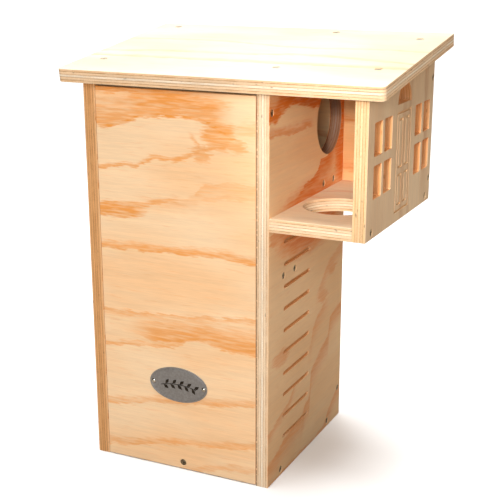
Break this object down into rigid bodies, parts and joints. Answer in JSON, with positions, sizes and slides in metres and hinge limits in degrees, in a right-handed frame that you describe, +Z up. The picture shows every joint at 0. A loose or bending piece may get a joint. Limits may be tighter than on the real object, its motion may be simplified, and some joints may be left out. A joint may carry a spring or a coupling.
{
  "type": "birdhouse",
  "caption": "Tall plywood nest box with a hinged front door, sloping roof, climbing grooves and a side porch whose facade has small windows.",
  "frame": {"origin": "centre of the tower's footprint, on the plane the base stands on", "axes": "+Z up, -Y out of the door face, +Y out of the back face that hangs against a tree, +X towards the porch"},
  "size_m": [0.3815, 0.2499, 0.504],
  "materials": {
    "plywood": "bare sanded pine plywood",
    "screw_steel": "zinc plated",
    "plate_steel": "satin, engraved",
    "nail_steel": "polished"
  },
  "bodies": {
    "house": {"roof_panel": "plywood", "left_side_panel": "plywood", "right_side_panel": "plywood", "back_panel": "plywood", "floor_panel": "plywood", "upper_shelf": "plywood", "lower_shelf": "plywood", "porch_floor": "plywood", "porch_end_panel": "plywood", "porch_facade": "plywood", "roof_screws": "screw_steel", "floor_screws": "screw_steel", "back_panel_screws": "screw_steel", "upper_shelf_screws": "screw_steel", "lower_shelf_screws": "screw_steel", "facade_floor_screws": "screw_steel", "facade_end_screws": "screw_steel", "porch_floor_screws": "screw_steel", "porch_end_screws": "screw_steel", "door_pivot_screws": "screw_steel"},
    "door": {"front_door": "plywood", "nameplate": "plate_steel", "nameplate_nails": "nail_steel"},
    "lock": {"lock_screw": "screw_steel"}
  },
  "joints": [
    {"name": "door_hinge", "type": "hinge", "parent": "house", "child": "door", "pos_m": [0, -0.1075, 0.433], "axis": [-1, 0, 0], "range_deg": [0, 110]},
    {"name": "lock_screw_slide", "type": "slide", "parent": "door", "child": "lock", "axis": [0, -1, 0], "range_m": [0, 0.032]}
  ]
}
